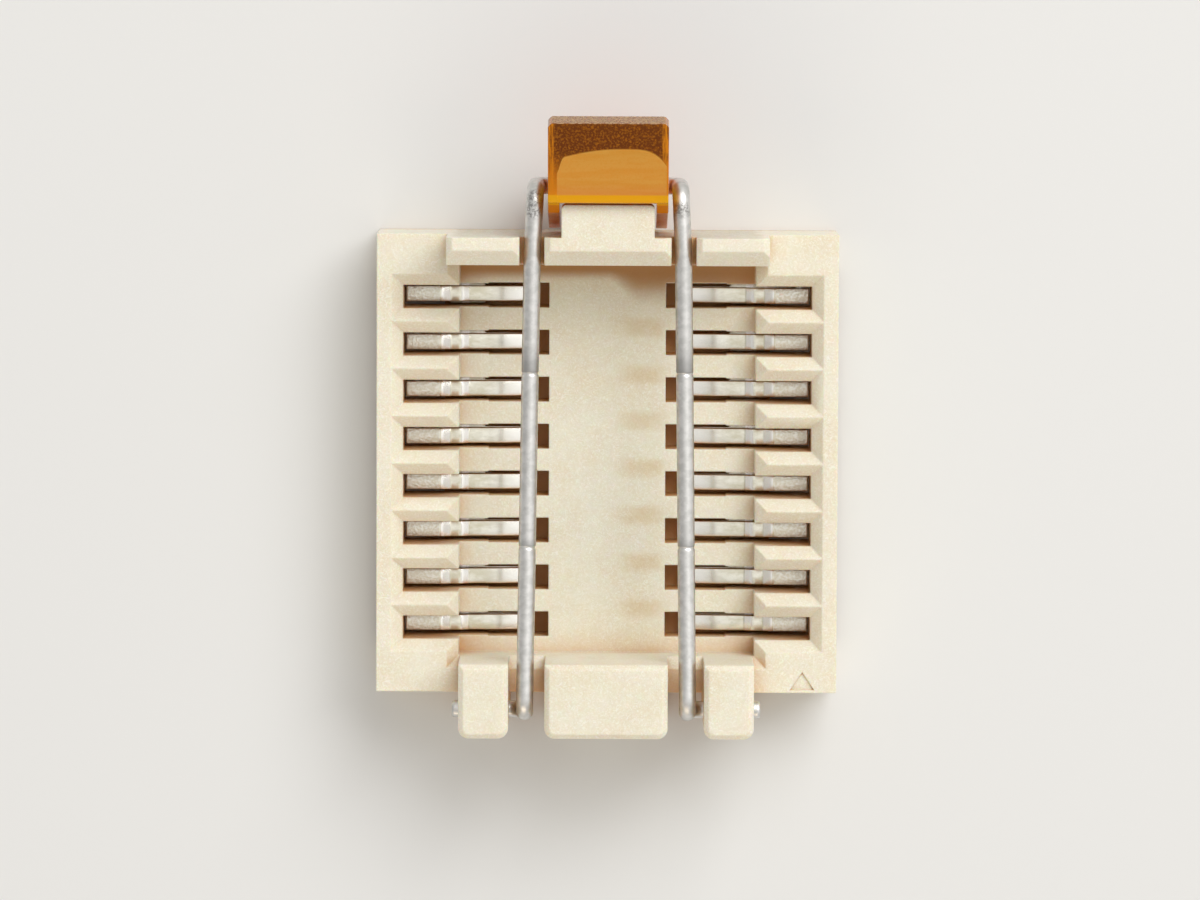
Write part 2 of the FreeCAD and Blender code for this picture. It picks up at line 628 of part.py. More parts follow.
def latch_throat_outline():
    """What is open between the cheeks: room for the catch tab, between the hook and the lip."""
    front = -amount(PIVOT_REACH)
    foot = -2 * size("hub_radius")
    tab_under, lip_under = latch_heights()
    hook_top = tab_under - size("hook_gap")
    hook_low = hook_top - size("hook_height")
    nose = -size("pivot_gap") - size("hook_grip")
    lip = -size("groove_lip")
    shank = latch_shank_front()
    return rounded_outline([
        (Vector(front, foot), 0),
        (Vector(lip, foot), 0),
        (Vector(lip, hook_low - size("hook_height")), 0),
        (Vector(nose + size("hook_grip") / 2, hook_low), 0),
        (Vector(nose, hook_top), 0),
        (Vector(shank, hook_top), 0),
        (Vector(shank, lip_under), 0),
        (Vector(front, lip_under), 0),
    ])


def make_latch():
    """The latch on the wire's crossbar, in its released rest."""
    body = new_body("latch_lever")
    side_view = new_sketch(body, "latch_side_outline", "YZ_Plane")
    add_shapes(side_view, latch_side_outline())
    pad(body, "latch_side", side_view, f"2 * {LATCH_HALF_WIDTH}", midplane=True)

    throat = new_sketch(body, "latch_throat_outline", "YZ_Plane")
    add_shapes(throat, latch_throat_outline())
    pocket(body, "latch_throat", throat, f"2 * {CHEEK_INNER}", midplane=True)

    bore = new_sketch(body, "latch_bore_outline", "YZ_Plane")
    circle(bore, "0", "0", BORE_RADIUS)
    cut = pocket(body, "latch_bore", bore, f"2 * {LATCH_HALF_WIDTH} + 2 * Sizes.cheek_clearance",
                 midplane=True)

    far = plate_edges()[1].x
    bevel = body.newObject("PartDesign::Chamfer", "plate_corners")
    bevel.Base = (cut, edges_of(cut, lambda box: box.XLength < 0.001 and box.YMin > far - 0.001
                                and near(abs(box.XMin), amount(LATCH_HALF_WIDTH))))
    bevel.setExpression("Size", "Sizes.plate_corner")
    body.Tip = bevel

    body.Placement = Placement(Vector(0, 0, 0), Rotation(Vector(1, 0, 0), -size("release_turn")))
    body.setExpression("Placement.Base.y", PIVOT_Y)
    body.setExpression("Placement.Base.z", PIVOT_Z)
    return body


def check(parts):
    """Stop if any object failed or any sub-part has no sound shape."""
    for item in doc.Objects:
        if "Invalid" in item.State or "Error" in item.State:
            raise RuntimeError(f"{item.Label} did not build: {item.State}")
    for part in parts:
        if part.Shape.isNull() or not part.Shape.isValid() or len(part.Shape.Solids) != 1:
            raise RuntimeError(f"{part.Label} has no sound solid")


parts = [make_housing()] + make_contacts() + [make_bail(), make_latch()]
doc.recompute()
check(parts)
os.makedirs("parts", exist_ok=True)
for part in parts:
    part.Shape.exportStep(f"parts/{part.Label}.step")
    print(part.Label, round(part.Shape.Volume, 4))
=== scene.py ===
import math
import bmesh
import bpy
import numpy as np
from mathutils import Matrix, Vector


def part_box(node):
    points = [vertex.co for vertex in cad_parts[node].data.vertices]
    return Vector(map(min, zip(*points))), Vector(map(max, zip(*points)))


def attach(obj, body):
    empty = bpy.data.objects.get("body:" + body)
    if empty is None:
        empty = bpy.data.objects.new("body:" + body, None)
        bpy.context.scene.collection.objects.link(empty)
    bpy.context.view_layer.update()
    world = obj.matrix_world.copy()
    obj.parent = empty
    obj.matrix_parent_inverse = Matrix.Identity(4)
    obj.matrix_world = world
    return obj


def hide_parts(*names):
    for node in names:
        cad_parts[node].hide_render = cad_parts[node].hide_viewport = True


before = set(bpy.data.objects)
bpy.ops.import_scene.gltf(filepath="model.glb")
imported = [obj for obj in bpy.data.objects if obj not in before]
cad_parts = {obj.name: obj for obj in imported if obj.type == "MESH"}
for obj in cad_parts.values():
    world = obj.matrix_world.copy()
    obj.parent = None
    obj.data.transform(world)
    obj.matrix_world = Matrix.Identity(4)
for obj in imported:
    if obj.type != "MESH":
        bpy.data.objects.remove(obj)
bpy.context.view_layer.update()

# The housing is one block moulded from a cream heat-resistant plastic, which light enters a little
# way. It is the CAD skin, merged, with its moulded edges eased. The back face is a rough torn skin.

MM = 0.001
housing_easing = 0.013 * MM
housing_corner_shine = 0.05 * MM
cream = (0.82, 0.775, 0.63, 1)
cream_warm = (0.79, 0.715, 0.545, 1)
cream_pale = (0.92, 0.90, 0.80, 1)
cream_torn = (0.70, 0.63, 0.49, 1)
cream_crevice_shade = (0.62, 0.34, 0.13, 1)
cream_slot_shade = (0.60, 0.39, 0.11, 1)
cream_shaded = (0.40, 0.18, 0.045, 1)
cream_glow = (1.0, 0.50, 0.20)
cream_depth = 0.25 * MM
crevice_reach = 1.3 * MM
cloud_size = 1.3
speck_size = 0.06
speck_share = 0.45
fibre_size = 0.15
fibre_curl = 3.5
fibre_share = 0.75
torn_start = 6.145
torn_half_width = 4.35
torn_fringe = 0.3
torn_wander = 0.9
# Painted shade on the bay floor: one patch a row beside the right slots, where the floor is thin,
# and a band along the back wall.
shaded_floor_below = 1.6
slot_shade_half_width = 1.72
slot_shade_from = (0.05, 0.8)
slot_shade_to = (1.25, 1.65)
slot_shade_lift = 0.41
slot_shade_share = 0.34
row_pitch = 1.27
shade_line = 5.2
shade_reach = 0.40
shade_growth = 0.75
shade_grown = 0.9
bay_half_width = 3.95
bay_back = 5.42


def merged_skin(node, name):
    """The node's loose triangles, joined at their corners, with each flat face made one polygon."""
    skin = bmesh.new()
    skin.from_mesh(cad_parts[node].data)
    bmesh.ops.remove_doubles(skin, verts=skin.verts, dist=0.0002 * MM)
    bmesh.ops.dissolve_limit(skin, angle_limit=math.radians(0.6), verts=skin.verts, edges=skin.edges)
    mesh = bpy.data.meshes.new(name)
    skin.to_mesh(mesh)
    skin.free()
    return mesh


def new_piece(name, mesh, material, body, slot_name, *nodes):
    """An object for a finished mesh, riding on its body in place of its CAD nodes."""
    piece = bpy.data.objects.new(name, mesh)
    bpy.context.scene.collection.objects.link(piece)
    mesh.materials.clear()
    mesh.materials.append(material)
    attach(piece, body)
    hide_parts(*nodes)
    return piece


def ease_edges(piece, width, segments, degrees):
    """Rounds the piece's edges that turn by more than this angle."""
    bevel = piece.modifiers.new("eased_edges", "BEVEL")
    bevel.width = width
    bevel.segments = segments
    bevel.limit_method = "ANGLE"
    bevel.angle_limit = math.radians(degrees)
    bevel.use_clamp_overlap = False


def new_material(name):
    """A material, its node tree, its surface shader and the object's own coordinates."""
    material = bpy.data.materials.new(name)
    material.use_nodes = True
    tree = material.node_tree
    place = tree.nodes.new("ShaderNodeTexCoord").outputs["Object"]
    return material, tree, tree.nodes["Principled BSDF"], place


def add(tree, kind, values=(), links=(), **settings):
    """A node of this kind with its settings, its socket values and what is linked into it."""
    made = tree.nodes.new("ShaderNode" + kind)
    for key, value in settings.items():
        setattr(made, key, value)
    for socket, value in dict(values).items():
        made.inputs[socket].default_value = value
    for socket, source in dict(links).items():
        tree.links.new(source, made.inputs[socket])
    return made


def math_node(tree, operation, first, second=None, third=None):
    """One step of arithmetic on numbers or on other nodes' results."""
    made = tree.nodes.new("ShaderNodeMath")
    made.operation = operation
    for socket, value in enumerate((first, second, third)):
        if value is None:
            continue
        if isinstance(value, (int, float)):
            made.inputs[socket].default_value = value
        else:
            tree.links.new(value, made.inputs[socket])
    return made.outputs[0]


def grain(tree, place, size, stretch=(1, 1, 1), detail=3.0, roughness=0.55):
    """Noise from 0 to 1 whose features are about this many millimetres across, times the stretch."""
    scale = [1 / (size * MM * part) for part in stretch]
    scaled = add(tree, "Mapping", {"Scale": scale}, {"Vector": place}).outputs[0]
    return add(tree, "TexNoise", {"Scale": 1.0, "Detail": detail, "Roughness": roughness},
               {"Vector": scaled}).outputs["Fac"]


def ramp(tree, source, low, high, bottom=0.0, top=1.0):
    """The source stretched from low..high to bottom..top, smooth at both ends."""
    return add(tree, "MapRange", {"From Min": low, "From Max": high, "To Min": bottom, "To Max": top},
               {"Value": source}, interpolation_type="SMOOTHSTEP").outputs[0]


def blend_colour(tree, share, first, second):
    """Two colours, or two nodes' colours, mixed by a share."""
    made = tree.nodes.new("ShaderNodeMixRGB")
    for socket, value in enumerate((share, first, second)):
        if isinstance(value, (tuple, float, int)):
            made.inputs[socket].default_value = value
        else:
            tree.links.new(value, made.inputs[socket])
    return made.outputs[0]


def relief(tree, height, depth, strength, before=None):
    """A bump of this depth in millimetres, laid over an earlier one."""
    links = {"Height": height}
    if before is not None:
        links["Normal"] = before
    return add(tree, "Bump", {"Strength": strength, "Distance": depth * MM}, links).outputs[0]


def cream_plastic():
    """Mottled cream with clouds, specks and glass fibres, over which lie a torn finish and painted shade.

    The torn finish is on the back face. The painted shade lies in a patch a row on the bay floor beside
    the right slots, in a band along its back wall, and as a warmer tone where little open sky is in reach.
    """
    material, tree, surface, place = new_material("cream_plastic")
    axes = add(tree, "SeparateXYZ", links={"Vector": place}).outputs
    facing = add(tree, "NewGeometry").outputs["True Normal"]
    facing = add(tree, "SeparateXYZ", links={"Vector": facing}).outputs
    clouds = ramp(tree, grain(tree, place, cloud_size, detail=5.0), 0.35, 0.7)
    specks = ramp(tree, grain(tree, place, speck_size, detail=2.0), 0.3, 0.75)
    base = blend_colour(tree, clouds, cream, cream_warm)
    base = blend_colour(tree, math_node(tree, "MULTIPLY", specks, speck_share), base, cream_pale)
    across = math_node(tree, "ABSOLUTE", axes[0])

    torn = math_node(tree, "MULTIPLY", ramp(tree, facing[1], 0.6, 0.9),
                     math_node(tree, "GREATER_THAN", axes[1], torn_start * MM))
    tears = ramp(tree, grain(tree, place, 0.10, (1.6, 1, 0.8), detail=6.0, roughness=0.7), 0.38, 0.62)
    ragged = math_node(tree, "MULTIPLY_ADD", grain(tree, place, 0.4, detail=4.0), torn_wander * MM, across)
    fringe = ramp(tree, ragged, torn_half_width * MM, (torn_half_width + torn_fringe) * MM, 1.0, 0.0)
    torn = math_node(tree, "MULTIPLY", torn, fringe)
    torn_share = math_node(tree, "MULTIPLY", torn, math_node(tree, "MULTIPLY_ADD", tears, 0.75, 0.1))
    base = blend_colour(tree, torn_share, base, cream_torn)

    fibres = add(tree, "Mapping", {"Scale": (1 / (fibre_size * MM),) * 3}, {"Vector": place}).outputs[0]
    fibres = add(tree, "TexNoise", {"Scale": 1.0, "Detail": 2.0, "Distortion": fibre_curl},
                 {"Vector": fibres}).outputs["Fac"]
    fibres = ramp(tree, fibres, 0.54, 0.64)
    base = blend_colour(tree, math_node(tree, "MULTIPLY", fibres, fibre_share), base, cream_pale)

    # Painted shade: a darker, warmer patch a row on the floor beside the right slots.
    low = ramp(tree, axes[2], (shaded_floor_below - 0.1) * MM, shaded_floor_below * MM, 1.0, 0.0)
    inside = ramp(tree, across, (slot_shade_half_width - 0.03) * MM, slot_shade_half_width * MM, 1.0, 0.0)
    on_floor = math_node(tree, "MULTIPLY", low, inside)
    beside_slots = math_node(tree, "MULTIPLY", ramp(tree, axes[0], slot_shade_from[0] * MM, slot_shade_from[1] * MM),
                             ramp(tree, axes[0], slot_shade_to[0] * MM, slot_shade_to[1] * MM, 1.0, 0.25))
    rows = math_node(tree, "MULTIPLY_ADD", axes[1], 2 * math.pi / (row_pitch * MM),
                     -2 * math.pi * (slot_shade_lift / row_pitch + 0.5))
    rows = ramp(tree, math_node(tree, "COSINE", rows), -0.2, 1.0)
    blotches = ramp(tree, grain(tree, place, 0.5), 0.25, 0.6, 0.5, 1.0)
    thin = math_node(tree, "MULTIPLY", math_node(tree, "MULTIPLY", beside_slots, rows),
                     math_node(tree, "MULTIPLY", math_node(tree, "MULTIPLY", blotches, on_floor), slot_shade_share))
    base = blend_colour(tree, thin, base, cream_slot_shade)

    reach = math_node(tree, "MULTIPLY_ADD", ramp(tree, axes[0], 0.0, shade_grown * MM),
                      shade_growth * MM, shade_reach * MM)
    towards_wall = math_node(tree, "SUBTRACT", axes[1], math_node(tree, "SUBTRACT", shade_line * MM, reach))
    by_wall = ramp(tree, math_node(tree, "DIVIDE", towards_wall, reach), 0.0, 0.9, 0.0, 0.95)
    in_bay = math_node(tree, "MULTIPLY", math_node(tree, "LESS_THAN", across, bay_half_width * MM),
                       math_node(tree, "LESS_THAN", axes[1], bay_back * MM))
    in_bay = math_node(tree, "MULTIPLY", in_bay, ramp(tree, facing[2], 0.7, 0.9))
    in_bay = math_node(tree, "MULTIPLY", in_bay, math_node(tree, "LESS_THAN", axes[2], shaded_floor_below * MM))
    base = blend_colour(tree, math_node(tree, "MULTIPLY", by_wall, in_bay), base, cream_shaded)

    # Painted shade: warmer and darker wherever little open sky is in reach.
    open_sky = add(tree, "AmbientOcclusion", {"Distance": crevice_reach}, samples=6).outputs["AO"]
    base = blend_colour(tree, ramp(tree, open_sky, 0.80, 0.15), base, cream_crevice_shade)
    tree.links.new(base, surface.inputs["Base Color"])
    rough = math_node(tree, "MULTIPLY_ADD", clouds, 0.14, 0.42)
    tree.links.new(math_node(tree, "MAXIMUM", rough, math_node(tree, "MULTIPLY", torn, 0.8)),
                   surface.inputs["Roughness"])
    rounded = add(tree, "Bevel", {"Radius": housing_corner_shine}, samples=4).outputs[0]
    lines = grain(tree, place, 0.045, (16, 1, 4), detail=2.0)
    skin = relief(tree, lines, 0.006, 0.5, rounded)
    skin = relief(tree, fibres, 0.004, 0.5, skin)
    skin = relief(tree, grain(tree, place, 0.05, detail=3.0), 0.006, 0.5, skin)
    skin = relief(tree, math_node(tree, "MULTIPLY", torn, tears), 0.04, 0.6, skin)
    tree.links.new(skin, surface.inputs["Normal"])
    surface.inputs["Specular IOR Level"].default_value = 0.4
    surface.inputs["Subsurface Weight"].default_value = 0.45
    surface.inputs["Subsurface Radius"].default_value = cream_glow
    surface.inputs["Subsurface Scale"].default_value = cream_depth
    return material


housing = new_piece("moulded_housing", merged_skin("housing", "moulded_housing"), cream_plastic(),
                    "base", "housing_plastic", "housing")
ease_edges(housing, housing_easing, 1, 20)


# The sixteen contacts are stamped from thin strip, bent to a hairpin and tinned. Each is pressed
# into its slot by its shoulders, and its frosted pad waits just under the bay floor.

strip_half_width = 0.21
strip_half_thickness = 0.075
strip_corner = 0.028
strip_sides = 24
strip_spacing = 0.035
arc_steps = 24
shoulder_half_width = 0.298
shoulder_ends = (3.30, 4.30)
shoulder_ramp = 0.03
base_level = 0.275
pad_level = 1.075
pad_start = 4.52
# Across and up from the middle of the socket, from the solder tail to the pad, with bend radii.
strip_corners = ((6.08, 0.075), (5.22, 0.075), (4.98, base_level), (2.10, base_level), (2.10, 0.675),
                 (2.90, 0.81), (3.74, 0.86), (3.95, 0.985), (4.22, 0.985), (4.48, pad_level),
                 (5.42, pad_level))
strip_bends = (0.16, 0.16, 0.19, 0.19, 2.4, 0.14, 0.14, 0.14, 0.14)
tin = (0.86, 0.84, 0.73, 1)
tin_shaded = (0.68, 0.64, 0.50, 1)
tin_highlight = (0.98, 0.965, 0.92, 1)
pad_tin = (0.97, 1.0, 0.92, 1)
pad_frost = (0.84, 0.84, 0.70, 1)
# Painted highlights: where they lie across the socket, on the two bends and along the beam.
highlight_bends = ((3.74, 3.94), (4.24, 4.48))
beam_highlight_span = (2.3, 3.5)


def unit(vectors):
    """Each row of an array divided by its length."""
    return vectors / np.linalg.norm(vectors, axis=-1, keepdims=True)


def bent_line(corners, radii, spacing):
    """Places along straight runs joined by tangent arcs, about evenly spaced, and their directions.

    An arc's centre lies on the corner's bisector, its radius over the sine of the half angle away. The
    arc turns from the first tangent point to the last, as a circle's arc between two spokes.
    """
    corners = np.array(corners, float)
    radii = np.array(radii, float)[:, None]
    corner = corners[1:-1]
    towards = unit(corners[:-2] - corner)
    away = unit(corners[2:] - corner)
    half_open = np.arccos(np.sum(towards * away, axis=1, keepdims=True)) / 2
    centre = corner + unit(towards + away) * radii / np.sin(half_open)
    first = corner + towards * radii / np.tan(half_open) - centre
    last = corner + away * radii / np.tan(half_open) - centre
    turn = (math.pi - 2 * half_open)[:, None]
    share = np.linspace(0, 1, arc_steps)[None, :, None]
    arcs = centre[:, None] + (np.sin((1 - share) * turn) * first[:, None]
                              + np.sin(share * turn) * last[:, None]) / np.sin(turn)
    line = np.vstack([corners[:1], arcs.reshape(-1, corners.shape[1]), corners[-1:]])
    gone = np.concatenate([[0], np.cumsum(np.linalg.norm(np.diff(line, axis=0), axis=1))])
    along = np.linspace(0, gone[-1], int(gone[-1] / spacing) + 1)
    places = np.stack([np.interp(along, gone, column) for column in line.T], axis=1)
    return places, unit(np.gradient(places, axis=0)), along


def tube_mesh(name, rings, along):
    """A closed skin over rings of points, one ring for each place along a path.

    Each ring is joined to the next by quads, and a polygon closes each end. The UV map holds the share
    of the way round and the length along, in millimetres.
    """
    count, sides = rings.shape[:2]
    ring, side = np.meshgrid(np.arange(count - 1), np.arange(sides), indexing="ij")
    following = (side + 1) % sides
    quads = np.stack([ring * sides + side, ring * sides + following,
                      (ring + 1) * sides + following, (ring + 1) * sides + side], axis=-1).reshape(-1, 4)
    mesh = bpy.data.meshes.new(name)
    ends = [list(range(sides))[::-1], list(range((count - 1) * sides, count * sides))]
    mesh.from_pydata((rings.reshape(-1, 3) * MM).tolist(), [], quads.tolist() + ends)
    around = np.stack([side, side + 1, side + 1, side], axis=-1).reshape(-1) / sides
    distance = np.stack([along[ring], along[ring], along[ring + 1], along[ring + 1]], axis=-1).reshape(-1)
    values = np.zeros((len(mesh.loops), 2))
    values[:len(around)] = np.stack([around, distance], axis=1)
    mesh.uv_layers.new(name="along").data.foreach_set("uv", values.reshape(-1))
    mesh.shade_smooth()
    return mesh


def strip_section():
    """Round the strip: a small circle pushed out to the four corners of the section."""
    angle = (np.arange(strip_sides) + 0.5) / strip_sides * 2 * math.pi
    across = np.sign(np.cos(angle)) * (1 - strip_corner / strip_half_width) \
        + np.cos(angle) * strip_corner / strip_half_width
    up = np.sign(np.sin(angle)) * (strip_half_thickness - strip_corner) + np.sin(angle) * strip_corner
    return across, up


def contact_mesh(name, side, row_y, wander):
    """The strip's section carried along its bent line and widened at the shoulders.

    The sprung half leans along the row and sinks by its wander, in step with its height over the base.
    """
    places, directions, along = bent_line(strip_corners, strip_bends, strip_spacing)
    out, up = places[:, 0], places[:, 1]
    on_base = up < base_level + 0.01
    shoulder = np.clip((out - shoulder_ends[0]) / shoulder_ramp, 0, 1) \
        * np.clip((shoulder_ends[1] - out) / shoulder_ramp, 0, 1) * on_base
    half_width = strip_half_width + (shoulder_half_width - strip_half_width) * shoulder
    sprung = np.clip((up - base_level) / (pad_level - base_level), 0, 1) * (along > along[-1] / 2)
    across, thickness = strip_section()
    normal = np.stack([-directions[:, 1], directions[:, 0]], axis=1)
    rings = np.empty((len(out), len(across), 3))
    rings[:, :, 0] = side * (out[:, None] + normal[:, :1] * thickness)
    rings[:, :, 1] = row_y + side * across * half_width[:, None] + wander[0] * sprung[:, None]
    rings[:, :, 2] = up[:, None] + normal[:, 1:] * thickness - abs(wander[1]) * sprung[:, None]
    return tube_mesh(name, rings[:, ::-1], along)


def tinned_strip():
    """Bright tin, drawn along the strip, with painted shade and highlights, and a frosted and pitted skin on
    the pad.
    """
    material, tree, surface, place = new_material("tinned_strip")
    across = math_node(tree, "ABSOLUTE", add(tree, "SeparateXYZ", links={"Vector": place}).outputs[0])
    on_pad = ramp(tree, across, (pad_start - 0.03) * MM, (pad_start + 0.03) * MM)
    mottle = ramp(tree, grain(tree, place, 0.07, detail=4.0), 0.36, 0.66)
    drawn = grain(tree, place, 0.02, (40, 1, 6), detail=2.0)
    frost = blend_colour(tree, mottle, pad_frost, pad_tin)
    # Painted shade: the plain tin is mottled with a darker, shaded copy of itself.
    plain = blend_colour(tree, ramp(tree, grain(tree, place, 0.25, (2, 1, 1)), 0.3, 0.7), tin_shaded, tin)
    # Painted highlight: the beam brightens towards the hairpin's turn.
    turn_highlight = ramp(tree, across, beam_highlight_span[0] * MM, beam_highlight_span[1] * MM, 0.85, 0.0)
    plain = blend_colour(tree, turn_highlight, plain, tin_highlight)
    # Painted highlight: a bright band on each of the two bends.
    for start, end in highlight_bends:
        bend_highlight = math_node(tree, "MULTIPLY", ramp(tree, across, (start - 0.02) * MM, (start + 0.02) * MM),
                           ramp(tree, across, (end - 0.02) * MM, (end + 0.02) * MM, 1.0, 0.0))
        plain = blend_colour(tree, bend_highlight, plain, tin_highlight)
    tree.links.new(blend_colour(tree, on_pad, plain, frost), surface.inputs["Base Color"])
    smooth = math_node(tree, "MULTIPLY_ADD", drawn, 0.12, 0.17)
    rough = math_node(tree, "MULTIPLY_ADD", mottle, -0.10, 0.40)
    mixed = add(tree, "Mix", links={0: on_pad, 2: smooth, 3: rough}, data_type="FLOAT").outputs[0]
    tree.links.new(mixed, surface.inputs["Roughness"])
    skin = relief(tree, drawn, 0.0015, 0.4)
    skin = relief(tree, math_node(tree, "MULTIPLY", on_pad, mottle), 0.006, 0.6, skin)
    tree.links.new(skin, surface.inputs["Normal"])
    surface.inputs["Metallic"].default_value = 1.0
    return material


tin_material = tinned_strip()
chance = np.random.default_rng(16)
contact_wander = 0.02
for name in sorted(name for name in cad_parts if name.startswith("contact_")):
    low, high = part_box(name)
    side = 1 if high[0] > 0 else -1
    row_y = (low[1] + high[1]) / 2 / MM
    mesh = contact_mesh("sprung_" + name, side, row_y, chance.uniform(-contact_wander, contact_wander, 2))
    new_piece("sprung_" + name, mesh, tin_material, "base", "contact_tin", name)


# The bail is one length of drawn spring wire, bent cold: pins out through the ears, two runs over
# the bay with a pressed crease at each kink, and a crossbar that the latch turns on.

wire_radius = 0.23
wire_spacing = 0.025
wire_sides = 28
crease_depth = 0.022
crease_length = 0.035
crease_places = (-2.1, 2.53)
runs_above = 4.0
pin_chamfer_share = 0.14
pin_chamfer_length = 0.05
# The right half's corners from the pin's end to the crossbar, with bend radii.
wire_corners = ((4.12, -6.53, 3.25), (2.17, -6.53, 3.25), (2.17, -6.53, 4.25), (2.11, -2.1, 4.13),
                (2.05, 2.53, 4.13), (2.0, 5.775, 4.25), (1.92, 7.4, 4.25), (1.92, 7.4, 1.5))
wire_bends = (0.4, 0.4, 0.25, 0.25, 4.0, 0.4, 0.33)
wire_bright = (0.70, 0.69, 0.67, 1)
wire_plain = (0.57, 0.565, 0.545, 1)
wire_crease_dark = (0.30, 0.295, 0.285, 1)
wire_smudge = (0.20, 0.19, 0.18, 1)
# Where the darker stretch beside each crease starts and ends, and how dark it is.
crease_darkening = ((2.56, 3.45, 0.75), (-2.06, -1.75, 0.55))
smudge_core = 0.10
smudge_edge = 0.30
smudges = ((-1.95, 7.2, 4.4), (-1.98, 6.85, 4.45), (1.95, 6.9, 4.45))


def wire_mesh():
    """A round section carried along the whole bent line, with a shallow crease at each kink.

    The section's frame leans on one fixed direction that the wire never runs along. A crease takes a
    bell curve's depth off the radius, and each pin's end is narrowed in a straight line.
    """
    left = [(-x, y, z) for x, y, z in wire_corners][::-1]
    places, directions, along = bent_line(wire_corners + tuple(left), wire_bends + wire_bends[::-1],
                                          wire_spacing)
    lean = unit(np.array([[1.0, 1.0, 1.0]]))
    aside = unit(lean - directions * np.sum(directions * lean, axis=1, keepdims=True))
    above = np.cross(directions, aside)
    on_runs = places[:, 2] > runs_above
    radius = np.full(len(places), wire_radius)
    for crease in crease_places:
        radius -= crease_depth * np.exp(-((places[:, 1] - crease) / crease_length) ** 2) * on_runs
    tip = np.minimum(along, along[-1] - along)
    radius *= 1 - pin_chamfer_share * (1 - np.clip(tip / pin_chamfer_length, 0, 1))
    angle = np.arange(wire_sides) / wire_sides * 2 * math.pi
    rings = places[:, None] + radius[:, None, None] * (np.cos(angle)[None, :, None] * aside[:, None]
                                                       + np.sin(angle)[None, :, None] * above[:, None])
    return tube_mesh("wire_bail", rings, along)


def drawn_wire():
    """Satin spring steel: fine lines along the wire, cloudy polish and a few dark bending marks."""
    material, tree, surface, place = new_material("drawn_wire")
    along = add(tree, "UVMap", uv_map="along").outputs[0]
    lines = add(tree, "Mapping", {"Scale": (60, 1.2, 1)}, {"Vector": along}).outputs[0]
    lines = add(tree, "TexNoise", {"Scale": 1.0, "Detail": 3.0}, {"Vector": lines}).outputs["Fac"]
    clouds = ramp(tree, grain(tree, place, 0.22, detail=4.0), 0.35, 0.65)
    base = blend_colour(tree, clouds, wire_plain, wire_bright)
    marks = grain(tree, place, 0.06, detail=3.0)
    lengthways = add(tree, "SeparateXYZ", links={"Vector": place}).outputs[1]
    # The wire darkens beside each crease, fading away from it along the wire.
    for start, end, share in crease_darkening:
        bent = math_node(tree, "MULTIPLY", math_node(tree, "GREATER_THAN", lengthways, start * MM),
                         ramp(tree, lengthways, start * MM, end * MM, share, 0.0))
        base = blend_colour(tree, bent, base, wire_crease_dark)
    for x, y, z in smudges:
        apart = add(tree, "VectorMath", {1: (x * MM, y * MM, z * MM)}, {0: place}, operation="DISTANCE")
        near = ramp(tree, apart.outputs["Value"], smudge_core * MM, smudge_edge * MM, 1.0, 0.0)
        share = math_node(tree, "MULTIPLY", near, ramp(tree, marks, 0.42, 0.60))
        base = blend_colour(tree, math_node(tree, "MULTIPLY", share, 0.8), base, wire_smudge)
    tree.links.new(base, surface.inputs["Base Color"])
    rough = math_node(tree, "MULTIPLY_ADD", lines, 0.12, 0.34)
    tree.links.new(math_node(tree, "MULTIPLY_ADD", clouds, -0.04, rough), surface.inputs["Roughness"])
    skin = relief(tree, lines, 0.002, 0.4)
    skin = relief(tree, marks, 0.002, 0.3, skin)
    tree.links.new(skin, surface.inputs["Normal"])
    surface.inputs["Metallic"].default_value = 1.0
    return material


new_piece("wire_bail", wire_mesh(), drawn_wire(), "bail", "bail_wire", "bail")


# The latch is moulded in amber translucent plastic and snaps onto the crossbar. Its glossy finger
# plate has a satin thumb patch under an arched edge, and its end face is frosted where it was cut.

latch_easing = 0.03 * MM
plate_slope = math.radians(14)
plate_front = (0, 7.09 * MM, 5.04 * MM)
plate_length = 2.165
rim_start = 1.40
rim_fade = 0.06
# The thumb patch: its highest point across and along the plate, how fast its edge falls to either
# side, its rounded left corner, and where its sides fade.
patch_peak = (0.37, 1.476)
patch_left_fall = 0.094
patch_right_fall = 0.25
patch_corner = (-1.36, -1.12)
patch_corner_drop = 0.62
patch_left = (-1.37, -1.33)
patch_right = (1.52, 1.56)
amber = (0.80, 0.27, 0.006, 1)
amber_shade = (0.15, 0.030, 0.001, 1)
amber_patch_highlight = (0.86, 0.44, 0.075, 1)
amber_patch_highlight_rose = (0.86, 0.37, 0.075, 1)
amber_lip_highlight = (1.0, 0.50, 0.006, 1)
amber_foot_light = (1.0, 0.22, 0.010, 1)
amber_cut = (0.34, 0.11, 0.015, 1)
amber_frost = (0.66, 0.47, 0.26, 1)
amber_sheen = (1.0, 0.62, 0.30, 1)


